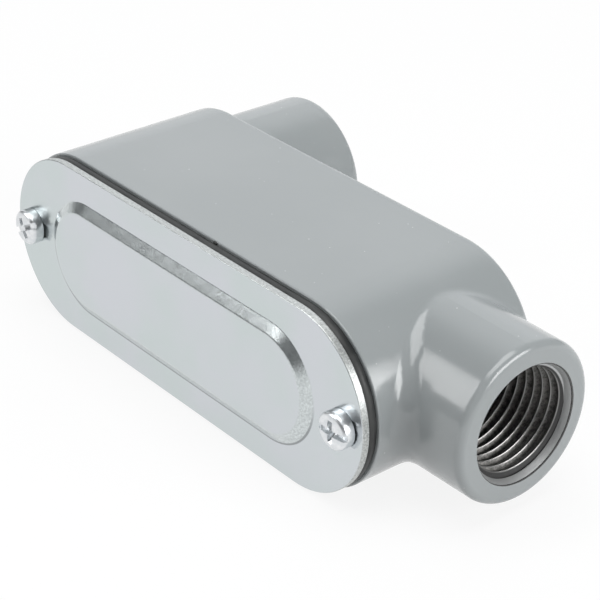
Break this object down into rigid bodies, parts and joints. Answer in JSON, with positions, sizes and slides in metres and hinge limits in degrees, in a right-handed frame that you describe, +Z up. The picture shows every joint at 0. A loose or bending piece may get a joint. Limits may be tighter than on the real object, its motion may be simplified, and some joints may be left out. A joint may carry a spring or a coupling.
{
  "type": "conduit body",
  "caption": "Right-angle conduit body: painted cast obround housing with a threaded outlet in its end and one in its back, closed by a gasketed steel cover.",
  "frame": {"origin": "on the ground under the middle of the part's bounding box, with the part lying on its long side", "axes": "+X along the long axis, out of the end outlet; +Y out of the back outlet, so the cover faces -Y; +Z up"},
  "size_m": [0.1168, 0.0632, 0.0357],
  "materials": {
    "housing_paint": "satin",
    "thread_metal": "satin",
    "gasket_rubber": "matte",
    "cover_zinc": "satin",
    "screw_zinc": "gloss"
  },
  "bodies": {
    "housing": {"housing": "housing_paint"},
    "cover": {"cover": "cover_zinc", "gasket": "gasket_rubber"},
    "screw_closed_end": {"screw_closed_end": "screw_zinc"},
    "screw_hub_end": {"screw_hub_end": "screw_zinc"}
  },
  "joints": [
    {"name": "cover_lift", "type": "slide", "parent": "housing", "child": "cover", "axis": [0, -1, 0], "range_m": [0, 0.05]},
    {"name": "screw_closed_end_turn", "type": "hinge", "parent": "cover", "child": "screw_closed_end", "pos_m": [-0.0527, -0.02888, 0.01785], "axis": [0, -1, 0], "continuous": true},
    {"name": "screw_hub_end_turn", "type": "hinge", "parent": "cover", "child": "screw_hub_end", "pos_m": [0.04, -0.02888, 0.01785], "axis": [0, -1, 0], "continuous": true}
  ]
}
